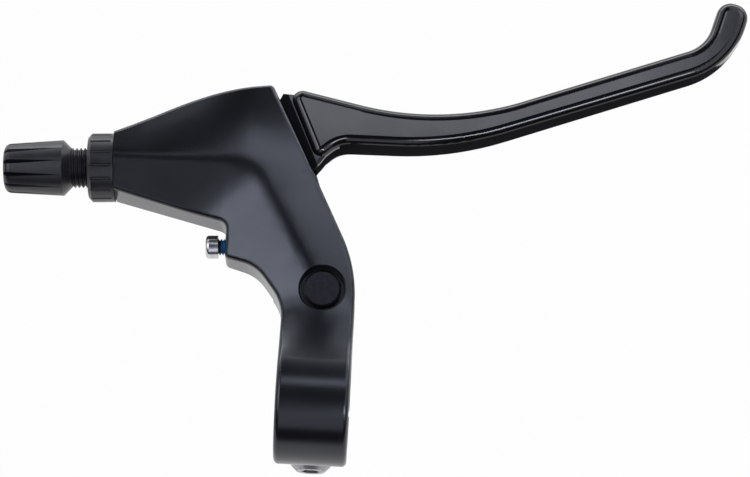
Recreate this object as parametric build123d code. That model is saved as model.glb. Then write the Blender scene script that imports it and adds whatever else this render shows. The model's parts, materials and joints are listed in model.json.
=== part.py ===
from build123d import *
import os
from math import atan2, cos, degrees, hypot, radians, sin, sqrt, tan

# A flat-bar brake lever for the right hand, at rest.
# Frame: the origin is the centre of the handlebar clamp, +X runs along the bar
# towards the blade's tip, +Y points forward, away from the rider, and +Z is up.
# All sizes are in millimetres and degrees.

# Handlebar clamp
BAR_R = 11.1
CLAMP_R = 15.3
CLAMP_WIDTH = 17.6
CLAMP_SLIT = 2.0
CLAMP_EDGE_R = 1.2
EAR_REAR = 11.0
EAR_FRONT = 9.0
EAR_START = 6.7
EAR_DROP = 6.4
EAR_WIDTH = 14.0
EAR_EDGE_R = 3.0
BOLT_R = 3.0
BOLT_HOLE_R = 3.1
BOLT_HEAD_R = 4.9
BOLT_HEAD_HEIGHT = 3.2
BOLT_HEAD_BEVEL = 1.4
BOLT_HEX = 4.0
BOLT_HEX_DEPTH = 2.2
BOLT_BELOW_RING = 1.1

# Pivot of the blade
PIVOT_X = 0.8
PIVOT_Y = 26.5
AXLE_R = 3.0
AXLE_FIT = 0.03
AXLE_HEAD_R = 4.55
AXLE_HEAD_HEIGHT = 1.9
AXLE_HEAD_CHAMFER = 0.45
AXLE_END = 1.3
RECESS_R = 5.5
RECESS_FLOOR = 6.0
RECESS_BEVEL = 0.35
CLIP_THICKNESS = 0.8
CLIP_R = 5.0
CLIP_GROOVE_R = 2.3
CLIP_LAND = 4.5
CLIP_MOUTH = 4.5
CLIP_PLAY = 0.05
BUSH_R = 4.0
BUSH_FLANGE_R = 6.0
BUSH_FLANGE = 0.8
BUSH_FIT = 0.02
BUSH_GAP = 0.1

# Bracket casting
TOP = 8.5
WALL_FOOT = -6.0
LUG_FOOT = -8.5
LUG_REACH = 13.5
SLOT_HALF = 4.7
SLOT_ROOM = 1.0
SLOT_LEFT = 9.0
WALL = 2.6
RIM_R = 1.2
REAR_DRAFT = 0.8
REAR_ANGLE = -13.4
REAR_WALL_IN = 7.1
NECK_SWEEP_R = 40.0
NECK_SINK = 0.02
NECK_CROWN = 1.1
CORNER_R = 1.4
INNER_CORNER_R = 2.4
FRONT_CORNER_ALONG = 11.9
FRONT_CORNER_OUT = 19.7
FRONT_SWELL_ALONG = 15.4
FRONT_SWELL_ANGLE = 9.6
FRONT_SWELL_RUN = 12.2
LEAN_ABOVE_PIVOT = 6.0
LEAN_R = 36.0
HOLLOW_BELOW_PIVOT = 3.5
HOLLOW_ALONG = 7.9
HOLLOW_FALL = 2.2
HOLLOW_R = 12.0
HOLLOW_UPPER_R = 10.0
REACH_BOSS_LEFT = 24.4
REACH_BOSS_LOW = 7.6
CREST_BEFORE_AXIS = 1.3
CREST_BEND = 16.6
CREST_DIAGONAL = -59.5
CREST_SOFT = 0.55
WING_SLOPE = 20.0
FRONT_SLOPE = 18.0
FRONT_CROWN_R = 110.0
WEB_SLOPE = 15.0
EDGE_SLOPE = 4.0
TOP_GRIDS = (34, 44, 38, 48, 41, 31)
BAY_BEHIND_CABLE = 4.3
BAY_TURN = 20.0

# Cable line, measured from the pivot
CABLE_OFFSET = 33.0
CABLE_ANGLE = 3.5
CABLE_R = 1.1
CABLE_SLOT = 2.0
BOSS_REACH = 51.0
BOSS_R = 7.0
WING_FRONT = 7.75
BOSS_DEPTH = 14.0

# Barrel adjuster and its lock ring, along the cable line
THREAD_R = 4.95
THREAD_ROOT_R = 4.4
THREAD_PLAY = 0.08
STEM_IN = 12.5
RING_R = 8.5
RING_LENGTH = 6.35
RING_LOBES = 16
RING_GROOVE = 0.3
RING_GROOVE_R = 0.4
RING_COLLAR = 0.65
RING_CHAMFER = 0.9
RING_FACE_GAP = 0.1
THREAD_SHOWN = 3.8
KNOB_CONE = 2.5
KNOB_LENGTH = 14.55
KNOB_R_IN = 6.9
KNOB_R_OUT = 6.0
KNOB_END_R = 1.8
KNOB_FLUTES = 12
FLUTE_DEPTH = 1.3
FLUTE_HALF = 2.2
SOCKET_R = 3.05
SOCKET_DEPTH = 8.0
SEAT_R = 2.75
SEAT_LENGTH = 1.0
SEAT_GAP = 0.05

# Reach screw
REACH_ARM = 12.5
REACH_R = 2.0
REACH_ROOT_R = 1.6
REACH_PLAY = 0.05
REACH_HEAD_R = 2.85
REACH_HEAD = 3.1
REACH_HEAD_EDGE = 0.9
REACH_TIP_BEVEL = 0.6
REACH_SHOWN = 1.8
REACH_HEX = 2.5
REACH_HEX_DEPTH = 1.6
REACH_TIP_GAP = 0.2
PAD_RIM = 1.6
PAD_DEPTH = 4.0
PAD_PROUD = 0.9

# Blade, with its outline measured from the pivot
WEB_HALF = 4.4
BLADE_HALF_ROOT = 6.1
BLADE_HALF_TIP = 4.3
BLADE_EDGE_R = 2.3
TIP_R = 4.0
TIP_CENTRE = (98.7, 76.4)
TIP_SOFT = 0.9
TIP_FRONT = 163.5
TIP_REAR = -12.0
BLADE_FRONT = [(-12.1, 52.0, 2.6), (27.4, 44.0, 73), (92.3, 68.8, 10)]
BLADE_REAR = [(99.6, 63.8, 22), (30.2, 37.8, 80), (2.2, 37.5, 7), (-3.2, 32.5, 2.4)]
CHANNEL_DEPTH = 3.2
CHANNEL_FLANGE = 1.3
CHANNEL_PAST_BEND = 8.0
CHANNEL_BEND_R = 8.0
CHANNEL_RUNOUT = 0.6
EYE_WALL = 2.2
PIVOT_EYE_R = 7.0
TANG_LEFT = 5.0
TANG_BACK = 1.8
TANG_LAP = 5.0
TANG_SHOWN = 1.2
TANG_EDGE_R = 0.8
TANG_REAR = (-4.0, 30.6)
TANG_FOOT = (2.0, 12.0)
STROKE = 30.0

# Cable anchor
ANCHOR_BACK = 10.0
ANCHOR_R = 5.2
ANCHOR_PLAY = 0.08
ANCHOR_HALF = 4.3
NIPPLE_R = 3.6
NIPPLE_DEPTH = 7.2
NOTCH_SPARE = 8.0
NOTCH_HEAD = 0.5

# Working values that follow from the sizes above
half_width = CLAMP_WIDTH / 2
bolt_drop = CLAMP_R + BOLT_BELOW_RING
pivot = Vector(PIVOT_X, PIVOT_Y)
along = Vector(cos(radians(CABLE_ANGLE)), sin(radians(CABLE_ANGLE)))
across = Vector(-along.Y, along.X)
cable_foot = pivot + across * CABLE_OFFSET
boss_face = cable_foot - along * BOSS_REACH
anchor = cable_foot - along * ANCHOR_BACK
adjuster_plane = Plane(origin=boss_face, x_dir=-across, z_dir=-along)

neck_root_r = CLAMP_R - NECK_SINK
neck_start = sqrt((neck_root_r + NECK_SWEEP_R) ** 2 - (TOP + NECK_SWEEP_R) ** 2)
neck_end = neck_root_r * neck_start / (neck_root_r + NECK_SWEEP_R)
lug_start = sqrt((neck_root_r + NECK_SWEEP_R) ** 2 - (NECK_SWEEP_R - LUG_FOOT) ** 2)
lug_end = neck_root_r * lug_start / (neck_root_r + NECK_SWEEP_R)
lug_mid_y = (lug_start + lug_end) / 2
lug_mid_z = LUG_FOOT - NECK_SWEEP_R + sqrt(NECK_SWEEP_R**2 - (lug_start - lug_mid_y) ** 2)

front_corner = cable_foot - along * FRONT_CORNER_ALONG + across * FRONT_CORNER_OUT
swell_turn = radians(FRONT_SWELL_ANGLE)
front_swell = front_corner - Vector(cos(swell_turn), sin(swell_turn)) * FRONT_SWELL_ALONG
wing_run = front_swell - boss_face - across * WING_FRONT
front_swell_r = FRONT_SWELL_RUN / tan(radians(wing_run.get_angle(front_corner - front_swell)) / 2)
reach_corner = pivot + Vector(-REACH_BOSS_LEFT, REACH_BOSS_LOW)
boss_rear = boss_face - across * REAR_WALL_IN
rear_fall = (reach_corner.X - boss_rear.X) * tan(radians(REAR_ANGLE))
inner_corner = Vector(reach_corner.X, boss_rear.Y + rear_fall)
slot_left = PIVOT_X - PIVOT_EYE_R - SLOT_LEFT

ring_end = RING_FACE_GAP + RING_LENGTH
thread_end = ring_end + THREAD_SHOWN
knob_start = thread_end + KNOB_CONE
barrel_end = knob_start + KNOB_LENGTH

reach_foot = pivot + across * REACH_ARM
reach_wall = (reach_foot.X - reach_corner.X) / along.X
reach_plane = Plane(origin=reach_foot - along * reach_wall, x_dir=-across, z_dir=-along)
eye_line = (anchor - pivot).normalized()
eye_growth = (ANCHOR_R + EYE_WALL - PIVOT_EYE_R) / (anchor - pivot).length
web_normal = eye_line * eye_growth + Vector(-eye_line.Y, eye_line.X) * sqrt(1 - eye_growth**2)
web_depth = (PIVOT_EYE_R - web_normal.dot(reach_foot - pivot)) / -web_normal.dot(along)
pad_face = PAD_PROUD + web_depth - reach_wall
bush_seat = SLOT_HALF - BUSH_GAP - BUSH_FLANGE
root_front = pivot + Vector(BLADE_FRONT[0][0], BLADE_FRONT[0][1])
root_rear = pivot + Vector(BLADE_REAR[-1][0], BLADE_REAR[-1][1])
knee = pivot + Vector(BLADE_REAR[2][0], BLADE_REAR[2][1])


def at(point, z=0.0):
    """A point of the plan at the height z."""
    return Vector(point.X, point.Y, z)


def rod(plane, start, end, radius):
    """A round rod along a plane's normal, between two distances from its origin."""
    return plane * Pos(0, 0, (start + end) / 2) * Cylinder(radius, end - start)


def upright(x, y, low, high, radius):
    """A round rod parallel to Z."""
    return Pos(x, y, (low + high) / 2) * Cylinder(radius, high - low)


def prism(face, low, high):
    """A plan face drawn at z = 0, carried between two heights."""
    return extrude(Pos(0, 0, low) * face, amount=high - low, dir=(0, 0, 1))


def rounded_face(corners):
    """A closed outline of straight runs whose corners have the given radii."""
    points = [point for point, _ in corners]
    count = len(points)
    edges = []
    ends = []
    for i, (point, radius) in enumerate(corners):
        before = (points[i - 1] - point).normalized()
        after = (points[(i + 1) % count] - point).normalized()
        half_turn = radians(180 - before.get_angle(after)) / 2
        start = point + before * radius * tan(half_turn)
        finish = point + after * radius * tan(half_turn)
        if radius > 0:
            depth = radius / cos(half_turn) - radius
            middle = point + (before + after).normalized() * depth
            edges.append(ThreePointArc(start, middle, finish))
        ends.append((start, finish))
    for i in range(count):
        edges.append(Line(ends[i][1], ends[(i + 1) % count][0]))
    return make_face(edges)


# Bracket


def bracket_plan():
    """The casting's outline from above, at the foot of its walls."""
    return rounded_face(
        [
            (boss_face + across * WING_FRONT, 0),
            (front_swell, front_swell_r),
            (front_corner, CORNER_R),
            (Vector(half_width, PIVOT_Y + LEAN_ABOVE_PIVOT), LEAN_R),
            (Vector(half_width, neck_end), 0),
            (Vector(-half_width, neck_end), 0),
            (Vector(-half_width, PIVOT_Y - HOLLOW_BELOW_PIVOT), HOLLOW_R),
            (reach_corner + Vector(HOLLOW_ALONG, -HOLLOW_FALL), HOLLOW_UPPER_R),
            (reach_corner, CORNER_R),
            (inner_corner, 0),
            (boss_rear, 0),
        ]
    )


def rear_wall_cut():
    """What lies outside the wing's drafted rear wall."""
    run = (inner_corner - boss_rear).normalized()
    tilt = radians(REAR_DRAFT)
    normal = Vector(run.Y * cos(tilt), -run.X * cos(tilt), sin(tilt))
    outer = Plane(origin=at(boss_rear, WALL_FOOT), x_dir=run, z_dir=normal)
    far = 3 * BOSS_REACH
    half_space = outer * Pos(0, 0, far / 2) * Box(far, far, far)
    return half_space & Pos(reach_corner.X - far / 2, 0, 0) * Box(far, 2 * far, far)


def soft_positive(value, soft):
    """Zero below -soft, the value itself above soft, and a parabola between."""
    if value <= -soft:
        return 0.0
    if value >= soft:
        return value
    return (value + soft) ** 2 / (4 * soft)


def soft_min(a, b, soft):
    """The lesser of two values, with the corner between them rounded."""
    near = max(soft - abs(a - b), 0) / soft
    return min(a, b) - near * near * soft / 4


def fade(value, start, end):
    """A smooth step from 0 at start to 1 at end."""
    t = min(max((value - start) / (end - start), 0), 1)
    return t * t * (3 - 2 * t)


def top_height(x, y):
    """Height of the casting's upper side: a crowned panel that falls away below a bent crest."""
    height = TOP
    if y < neck_start:
        height += NECK_SWEEP_R - sqrt(NECK_SWEEP_R**2 - (neck_start - y) ** 2)
    crest_y = boss_face.Y + CREST_BEFORE_AXIS
    bend_x = cable_foot.X - CREST_BEND
    turn = radians(CREST_DIAGONAL)
    below_wing = crest_y - y
    left_of_web = (x - bend_x) * sin(turn) - (y - crest_y) * cos(turn)
    left_of_neck = PIVOT_X - x
    wing_fall = below_wing * tan(radians(WING_SLOPE))
    web_fall = left_of_web * tan(radians(WEB_SLOPE))
    neck_fall = left_of_neck * tan(radians(WEB_SLOPE))
    fall = soft_min(soft_min(wing_fall, web_fall, CREST_SOFT * 3), neck_fall, CREST_SOFT * 2)
    on_head = fade(y, neck_end, PIVOT_Y)
    height -= soft_positive(fall, CREST_SOFT) * on_head
    near_boss = 1 - fade(x, boss_face.X, bend_x)
    height -= soft_positive(-below_wing, CREST_SOFT) * tan(radians(FRONT_SLOPE)) * near_boss
    height -= max(-below_wing, 0) ** 2 / (2 * FRONT_CROWN_R)
    edge_fall = -left_of_web * tan(radians(EDGE_SLOPE))
    height -= soft_positive(edge_fall, CREST_SOFT) * on_head
    on_neck = fade(y, PIVOT_Y, neck_start / 2) * fade(y, neck_end, neck_end + 3 * WALL)
    side = min(abs(x) / half_width, 1)
    return height - NECK_CROWN * side**3 * on_neck


def above_top(steps):
    """Everything over the casting's upper side, which is a spline through computed heights."""
    margin = WALL * 2
    left = boss_face.X - margin
    right = half_width + margin
    back = neck_end - margin
    front = front_corner.Y + margin
    points = []
    for i in range(steps + 1):
        x = left + (right - left) * i / steps
        row = []
        for j in range(steps + 1):
            y = back + (front - back) * j / steps
            row.append((x, y, top_height(x, y)))
        points.append(row)
    surface = Face.make_surface_from_array_of_points(points)
    return extrude(surface, amount=3 * CLAMP_R, dir=(0, 0, 1))


def lower_lug():
    """The neck's underside and the lower ear of the fork, as a side view carried across."""
    swept = ThreePointArc(
        (lug_start, LUG_FOOT),
        (lug_mid_y, lug_mid_z),
        (lug_end, -sqrt(neck_root_r**2 - lug_end**2)),
    )
    front = PIVOT_Y + LUG_REACH + WALL
    rest = Polyline(
        (lug_end, -sqrt(neck_root_r**2 - lug_end**2)),
        (lug_end, 0),
        (front, 0),
        (front, WALL_FOOT),
        (front + LUG_FOOT - WALL_FOOT, LUG_FOOT),
        (lug_start, LUG_FOOT),
    )
    side = Plane.YZ * make_face([swept, rest])
    left = -half_width - WALL
    lug = extrude(Pos(left, 0, 0) * side, amount=2 * CLAMP_WIDTH, dir=(1, 0, 0))
    return lug & prism(bracket_plan(), LUG_FOOT - CLAMP_R, 0)


def clamp_ring():
    """The clamp's ring with two ears under the bar."""
    ring = fillet(Cylinder(CLAMP_R, CLAMP_WIDTH).edges(), CLAMP_EDGE_R)
    ring = Rot(0, 90, 0) * ring
    height = CLAMP_R + EAR_DROP - EAR_START
    ears = Box(EAR_WIDTH, EAR_REAR + EAR_FRONT, height)
    ears = fillet(ears.edges().filter_by(Axis.Y), EAR_EDGE_R)
    middle = (EAR_FRONT - EAR_REAR) / 2
    return ring + Pos(0, middle, -EAR_START - height / 2) * ears


def clamp_cuts():
    """The bar's bore, the slit and the bolt's holes."""
    far = 4 * CLAMP_R
    bore = Rot(0, 90, 0) * Cylinder(BAR_R, far)
    slit = Pos(0, 0, -far / 2) * Box(far, CLAMP_SLIT, far)
    hole = Pos(0, 0, -bolt_drop) * Rot(90, 0, 0) * Cylinder(BOLT_HOLE_R, far)
    return bore + slit + hole


def cable_bay():
    """The open space under the wing, for the cable, its anchor and the blade's web."""
    inner_left = boss_face + along * BOSS_DEPTH
    front_dir = (front_corner - front_swell).normalized()
    front_in = Vector(front_dir.Y, -front_dir.X) * WALL
    wing_dir = wing_run.normalized()
    wing_in = Vector(wing_dir.Y, -wing_dir.X) * WALL
    wing_start = boss_face + across * WING_FRONT + wing_in
    run = BOSS_DEPTH / (wing_dir.X * along.X + wing_dir.Y * along.Y)
    past = 2 * CLAMP_WIDTH
    end = front_corner + front_in + front_dir * past
    floor_y = PIVOT_Y + LUG_REACH
    bay = rounded_face(
        [
            (inner_left - across * BAY_BEHIND_CABLE, CORNER_R),
            (wing_start + wing_dir * run, CORNER_R),
            (front_swell + (front_in + wing_in) * 0.5, front_swell_r / 4),
            (end, 0),
            (Vector(end.X, floor_y), 0),
            (Vector(slot_left, floor_y), 0),
            (cable_foot - along * BAY_TURN - across * BAY_BEHIND_CABLE, CORNER_R),
        ]
    )
    low = WALL_FOOT - BOSS_R
    return prism(bay, low, SLOT_HALF)


def blade_slot():
    """The fork's slot for the blade's pivot eye, open towards the blade."""
    room = PIVOT_EYE_R + SLOT_ROOM
    past = 2 * CLAMP_WIDTH
    top_y = PIVOT_Y + LUG_REACH + WALL
    slot = make_face(
        Polyline(
            (PIVOT_X, PIVOT_Y - room),
            (past, PIVOT_Y - room),
            (past, top_y),
            (slot_left, top_y),
            (PIVOT_X - room, PIVOT_Y),
            close=True,
        )
    )
    slot += Pos(PIVOT_X, PIVOT_Y) * Circle(room)
    return prism(slot, -SLOT_HALF, SLOT_HALF)


def is_inner_corner(edge):
    """Whether an edge is the upright one between the wing's rear wall and the reach wall."""
    middle = edge.position_at(0.5)
    rise = abs(edge.position_at(0).Z - edge.position_at(1).Z)
    on_wall = abs(middle.X - reach_corner.X) < CORNER_R / 100
    return on_wall and rise > CLAMP_R and middle.Y > (reach_corner.Y + inner_corner.Y) / 2


def bracket_shell():
    """The casting's head and neck as a solid, with its upper edges rounded."""
    block = prism(bracket_plan(), WALL_FOOT, 2 * CLAMP_R) - rear_wall_cut()
    block = fillet(block.edges().filter_by(is_inner_corner), INNER_CORNER_R)
    for steps in TOP_GRIDS:
        body = block - above_top(steps)
        try:
            return fillet(upper_rims(body), RIM_R)
        except ValueError:
            continue
    raise ValueError("no grid of the upper side lets its rims be rounded")


def upper_rims(body):
    """The edges of the casting's upper side, but for those on the clamp's ring and the boss."""
    upper = body.faces().filter_by(GeomType.BSPLINE).sort_by(SortBy.AREA)[-1]
    rims = []
    for edge in upper.edges():
        start = edge.position_at(0)
        end = edge.position_at(1)
        on_ring = max(start.Y, end.Y) < neck_end + CORNER_R
        on_boss = max(start.X, end.X) < boss_rear.X
        if not on_ring and not on_boss:
            rims.append(edge)
    return rims


def on_recess_mouth(edge):
    """Whether an edge of the casting runs round the mouth of the axle's recess."""
    point = edge.position_at(0.5)
    spread = hypot(point.X - PIVOT_X, point.Y - PIVOT_Y)
    return abs(spread - RECESS_R) < CORNER_R / 100 and point.Z > RECESS_FLOOR + RECESS_BEVEL


def bracket():
    body = bracket_shell()
    body -= upright(PIVOT_X, PIVOT_Y, RECESS_FLOOR, 2 * CLAMP_R, RECESS_R)
    body = chamfer(body.edges().filter_by(on_recess_mouth), RECESS_BEVEL)
    body += rod(adjuster_plane, -BOSS_DEPTH - WALL, 0, BOSS_R)
    body += lower_lug()
    body += clamp_ring()
    body -= cable_bay()
    body -= blade_slot()
    body -= clamp_cuts()
    body -= upright(PIVOT_X, PIVOT_Y, 2 * LUG_FOOT, LUG_FOOT, CLIP_R + WALL / 2)
    body -= upright(PIVOT_X, PIVOT_Y, 2 * LUG_FOOT, 2 * TOP, AXLE_R + AXLE_FIT)
    body -= rod(adjuster_plane, -2 * BOSS_DEPTH, BOSS_DEPTH, THREAD_R + THREAD_PLAY)
    body -= cable_slit(-2 * BOSS_DEPTH, BOSS_DEPTH, 2 * BOSS_R)
    body -= rod(reach_plane, -BOSS_REACH / 2, BOSS_REACH / 2, REACH_R + REACH_PLAY)
    return body


def cable_slit(start, end, depth):
    """A slot below the cable line, through which the inner cable is laid in."""
    length = end - start
    slit = Pos(0, -depth / 2, (start + end) / 2) * Box(CABLE_SLOT, depth, length)
    return adjuster_plane * slit


def clamp_bolt():
    head_face = -EAR_REAR
    bolt_plane = Plane(origin=(0, head_face, -bolt_drop), x_dir=(1, 0, 0), z_dir=(0, -1, 0))
    head = Cylinder(BOLT_HEAD_R, BOLT_HEAD_HEIGHT)
    head = chamfer(head.edges().group_by(Axis.Z)[-1], BOLT_HEAD_BEVEL)
    head = Pos(0, 0, BOLT_HEAD_HEIGHT / 2) * head
    shank = EAR_REAR + EAR_FRONT
    bolt = head + Pos(0, 0, -shank / 2) * Cylinder(BOLT_R, shank)
    hexagon = RegularPolygon(BOLT_HEX / 2, 6, major_radius=False)
    socket = extrude(Pos(0, 0, BOLT_HEAD_HEIGHT - BOLT_HEX_DEPTH) * hexagon, amount=BOLT_HEAD_HEIGHT)
    return bolt_plane * (bolt - socket)


# Pivot


def pivot_axle():
    clip_top = LUG_FOOT - CLIP_PLAY
    clip_foot = clip_top - CLIP_THICKNESS - CLIP_PLAY
    foot = clip_foot - AXLE_END
    head = upright(PIVOT_X, PIVOT_Y, RECESS_FLOOR, RECESS_FLOOR + AXLE_HEAD_HEIGHT, AXLE_HEAD_R)
    head = chamfer(head.edges().group_by(Axis.Z)[-1], AXLE_HEAD_CHAMFER)
    pin = upright(PIVOT_X, PIVOT_Y, foot, RECESS_FLOOR, AXLE_R)
    pin = chamfer(pin.edges().group_by(Axis.Z)[0], AXLE_HEAD_CHAMFER)
    groove = upright(PIVOT_X, PIVOT_Y, clip_foot, LUG_FOOT, AXLE_R * 2)
    groove -= upright(PIVOT_X, PIVOT_Y, clip_foot, LUG_FOOT, CLIP_GROOVE_R)
    return head + pin - groove


def axle_clip():
    """A spring clip: a ring open on one side, with three lands that grip the groove."""
    inner = CLIP_GROOVE_R + CLIP_PLAY
    relief = (CLIP_R + inner) / 2
    ring = Circle(CLIP_R) - Circle(relief)
    lands = Sketch() + [loc * Rectangle(CLIP_LAND, inner) for loc in clip_lands(inner)]
    ring += lands & Circle(CLIP_R)
    ring -= Circle(inner)
    ring -= Pos(-CLIP_R, 0) * Rectangle(2 * CLIP_R, CLIP_MOUTH)
    top = LUG_FOOT - CLIP_PLAY
    return Pos(PIVOT_X, PIVOT_Y, 0) * prism(ring, top - CLIP_THICKNESS, top)


def clip_lands(inner):
    """Where the clip's three lands stand round the axle."""
    return [Rot(0, 0, turn) * Pos(inner + CLIP_LAND / 2, 0) for turn in (-90, 0, 90)]


def bush(side):
    """A flanged bush in one end of the blade's pivot eye; side is 1 for the upper one."""
    low = BUSH_GAP
    body = upright(PIVOT_X, PIVOT_Y, low, bush_seat, BUSH_R - BUSH_FIT)
    body += upright(PIVOT_X, PIVOT_Y, bush_seat, bush_seat + BUSH_FLANGE, BUSH_FLANGE_R)
    body -= upright(PIVOT_X, PIVOT_Y, -SLOT_HALF, SLOT_HALF, AXLE_R + AXLE_FIT)
    if side < 0:
        body = mirror(body, about=Plane.XY)
    return body


# Blade


def blade_outline():
    """The blade from above, as straight runs that meet in round bends."""
    tip = pivot + Vector(*TIP_CENTRE)
    middle = (TIP_FRONT + TIP_REAR) / 2
    reach = TIP_R / cos(radians(TIP_FRONT - TIP_REAR) / 4)
    tip_corners = []
    for turn in ((TIP_FRONT + middle) / 2, (TIP_REAR + middle) / 2):
        corner = tip + Vector(cos(radians(turn)), sin(radians(turn))) * reach
        tip_corners.append((corner, TIP_R * TIP_SOFT))
    front = [(pivot + Vector(x, y), radius) for x, y, radius in BLADE_FRONT]
    rear = [(pivot + Vector(x, y), radius) for x, y, radius in BLADE_REAR]
    return rounded_face(front + tip_corners + rear)


def blade_levels(inset):
    """The space between the blade's upper and lower faces, drawn in by inset on both."""
    left = pivot.X + BLADE_FRONT[0][0] - BLADE_EDGE_R
    right = pivot.X + TIP_CENTRE[0] + TIP_R * 2
    root = BLADE_HALF_ROOT - inset
    tip = BLADE_HALF_TIP - inset
    side = make_face(Polyline((left, root), (right, tip), (right, -tip), (left, -root), close=True))
    far = 2 * (PIVOT_Y + CABLE_OFFSET + BOSS_REACH)
    return extrude(Plane.XZ * side, amount=-far)


def blade_bar():
    """The blade itself, with rounded edges."""
    far = 2 * BLADE_HALF_ROOT
    bar = prism(blade_outline(), -far, far) & blade_levels(0)
    flats = bar.faces().filter_by(GeomType.PLANE).sort_by(Axis.Z)
    rims = flats[0].edges() + flats[-1].edges()
    return fillet(rims, BLADE_EDGE_R)


def blade_channel():
    """A groove along the blade's rear side, between its flanges, that runs out round the tip's bend."""
    bend = pivot + Vector(BLADE_REAR[1][0], BLADE_REAR[1][1])
    bend_r = BLADE_REAR[1][2]
    grip = pivot + Vector(BLADE_REAR[0][0], BLADE_REAR[0][1])
    grip_run = (grip - bend).normalized()
    grip_in = Vector(-grip_run.Y, grip_run.X) * CHANNEL_DEPTH
    root_in = Vector(0, CHANNEL_DEPTH)
    tip_turn = radians(TIP_REAR + 90)
    tip_run = Vector(cos(tip_turn), sin(tip_turn))
    tip_in = Vector(-tip_run.Y, tip_run.X) * CHANNEL_DEPTH
    end = grip + tip_run * CHANNEL_PAST_BEND
    groove = rounded_face(
        [
            (knee - root_in, 0),
            (bend - root_in, bend_r),
            (grip - (grip_in + tip_in) / 2, 0),
            (end - tip_in, 0),
            (end, 0),
            (grip + (grip_in + tip_in) / 2, CHANNEL_BEND_R),
            (bend + (root_in + grip_in) / 2, bend_r),
            (knee + root_in, 0),
        ]
    )
    far = 2 * BLADE_HALF_ROOT
    return prism(groove, -far, far) & blade_levels(CHANNEL_FLANGE)


def root_channel():
    """The groove's end on the tang, which runs out where the tang enters the bracket."""
    foot = pivot + Vector(*TANG_REAR)
    run = (knee - foot).normalized()
    inward = Vector(-run.Y, run.X)
    groove = rounded_face(
        [
            (foot - inward * CHANNEL_DEPTH, 0),
            (knee + (run - inward) * CHANNEL_DEPTH, 0),
            (knee + Vector(CHANNEL_DEPTH, CHANNEL_DEPTH), 0),
            (knee + inward * CHANNEL_DEPTH, CHANNEL_DEPTH),
            (foot + inward * CHANNEL_RUNOUT, 0),
        ]
    )
    half = WEB_HALF - CHANNEL_FLANGE
    return prism(groove, -half, half)


def blade_web():
    """The flat root that swings in the bracket: cable eye, pivot eye and tang."""
    eye_r = ANCHOR_R + EYE_WALL
    eyes = Pos(anchor.X, anchor.Y) * Circle(eye_r) + Pos(PIVOT_X, PIVOT_Y) * Circle(PIVOT_EYE_R)
    core = make_hull(eyes.edges())
    lean = (root_front - root_rear).normalized()
    into = Vector(lean.Y, -lean.X)
    tang = make_face(
        Polyline(
            anchor,
            anchor + across * eye_r - along * TANG_LEFT,
            root_front - lean * TANG_BACK - into * TANG_SHOWN,
            root_front - lean * TANG_LAP + into * TANG_LAP,
            root_rear + lean * EYE_WALL + into * TANG_LAP,
            root_rear + into * TANG_SHOWN,
            pivot + Vector(*TANG_REAR),
            pivot + Vector(*TANG_FOOT),
            pivot,
            close=True,
        )
    )
    web = prism(core + tang, -WEB_HALF, WEB_HALF)
    side = (root_rear + into * TANG_SHOWN + pivot + Vector(*TANG_REAR)) / 2
    rims = []
    for edge in web.edges():
        middle = edge.position_at(0.5)
        if (middle - at(side, middle.Z)).length < TANG_SHOWN / 2 and abs(middle.Z) > WEB_HALF / 2:
            rims.append(edge)
    return fillet(rims, TANG_EDGE_R)


def stop_pad():
    """The flat on the blade's root that rests on the reach screw."""
    size = 2 * REACH_R + PAD_RIM
    depth = PAD_DEPTH
    return reach_plane * Pos(0, 0, pad_face - depth / 2) * Box(size, size, depth)


def lever_blade():
    body = blade_bar() + blade_web() + stop_pad()
    body -= blade_channel()
    body -= root_channel()
    body -= upright(anchor.X, anchor.Y, -TOP, TOP, ANCHOR_R + ANCHOR_PLAY)
    body -= upright(PIVOT_X, PIVOT_Y, -TOP, TOP, BUSH_R)
    flange_r = BUSH_FLANGE_R + BUSH_GAP
    body -= upright(PIVOT_X, PIVOT_Y, bush_seat, TOP, flange_r)
    body -= upright(PIVOT_X, PIVOT_Y, -TOP, -bush_seat, flange_r)
    return body - cable_notch()


def cable_notch():
    """The gap in the cable eye's wall, as wide as the cable swings over the stroke."""
    reach = 2 * (ANCHOR_R + EYE_WALL)
    start = radians(180 + CABLE_ANGLE - NOTCH_SPARE)
    end = radians(180 + CABLE_ANGLE + STROKE + NOTCH_SPARE)
    wedge = make_face(
        Polyline(
            anchor,
            anchor + Vector(cos(start), sin(start)) * reach,
            anchor + Vector(cos(end), sin(end)) * reach,
            close=True,
        )
    )
    return prism(wedge, -TOP, CABLE_R + NOTCH_HEAD)


def cable_anchor():
    """A swivelling barrel with a pocket for the cable's nipple, open from below."""
    body = upright(anchor.X, anchor.Y, -ANCHOR_HALF, ANCHOR_HALF, ANCHOR_R)
    body -= upright(anchor.X, anchor.Y, -ANCHOR_HALF, NIPPLE_DEPTH - ANCHOR_HALF, NIPPLE_R)
    slot = Box(2 * ANCHOR_R, CABLE_SLOT, ANCHOR_HALF + CABLE_R)
    slot = Pos(-ANCHOR_R, 0, (CABLE_R - ANCHOR_HALF) / 2) * slot
    return body - Pos(anchor.X, anchor.Y, 0) * Rot(0, 0, CABLE_ANGLE) * slot


# Barrel adjuster


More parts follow.
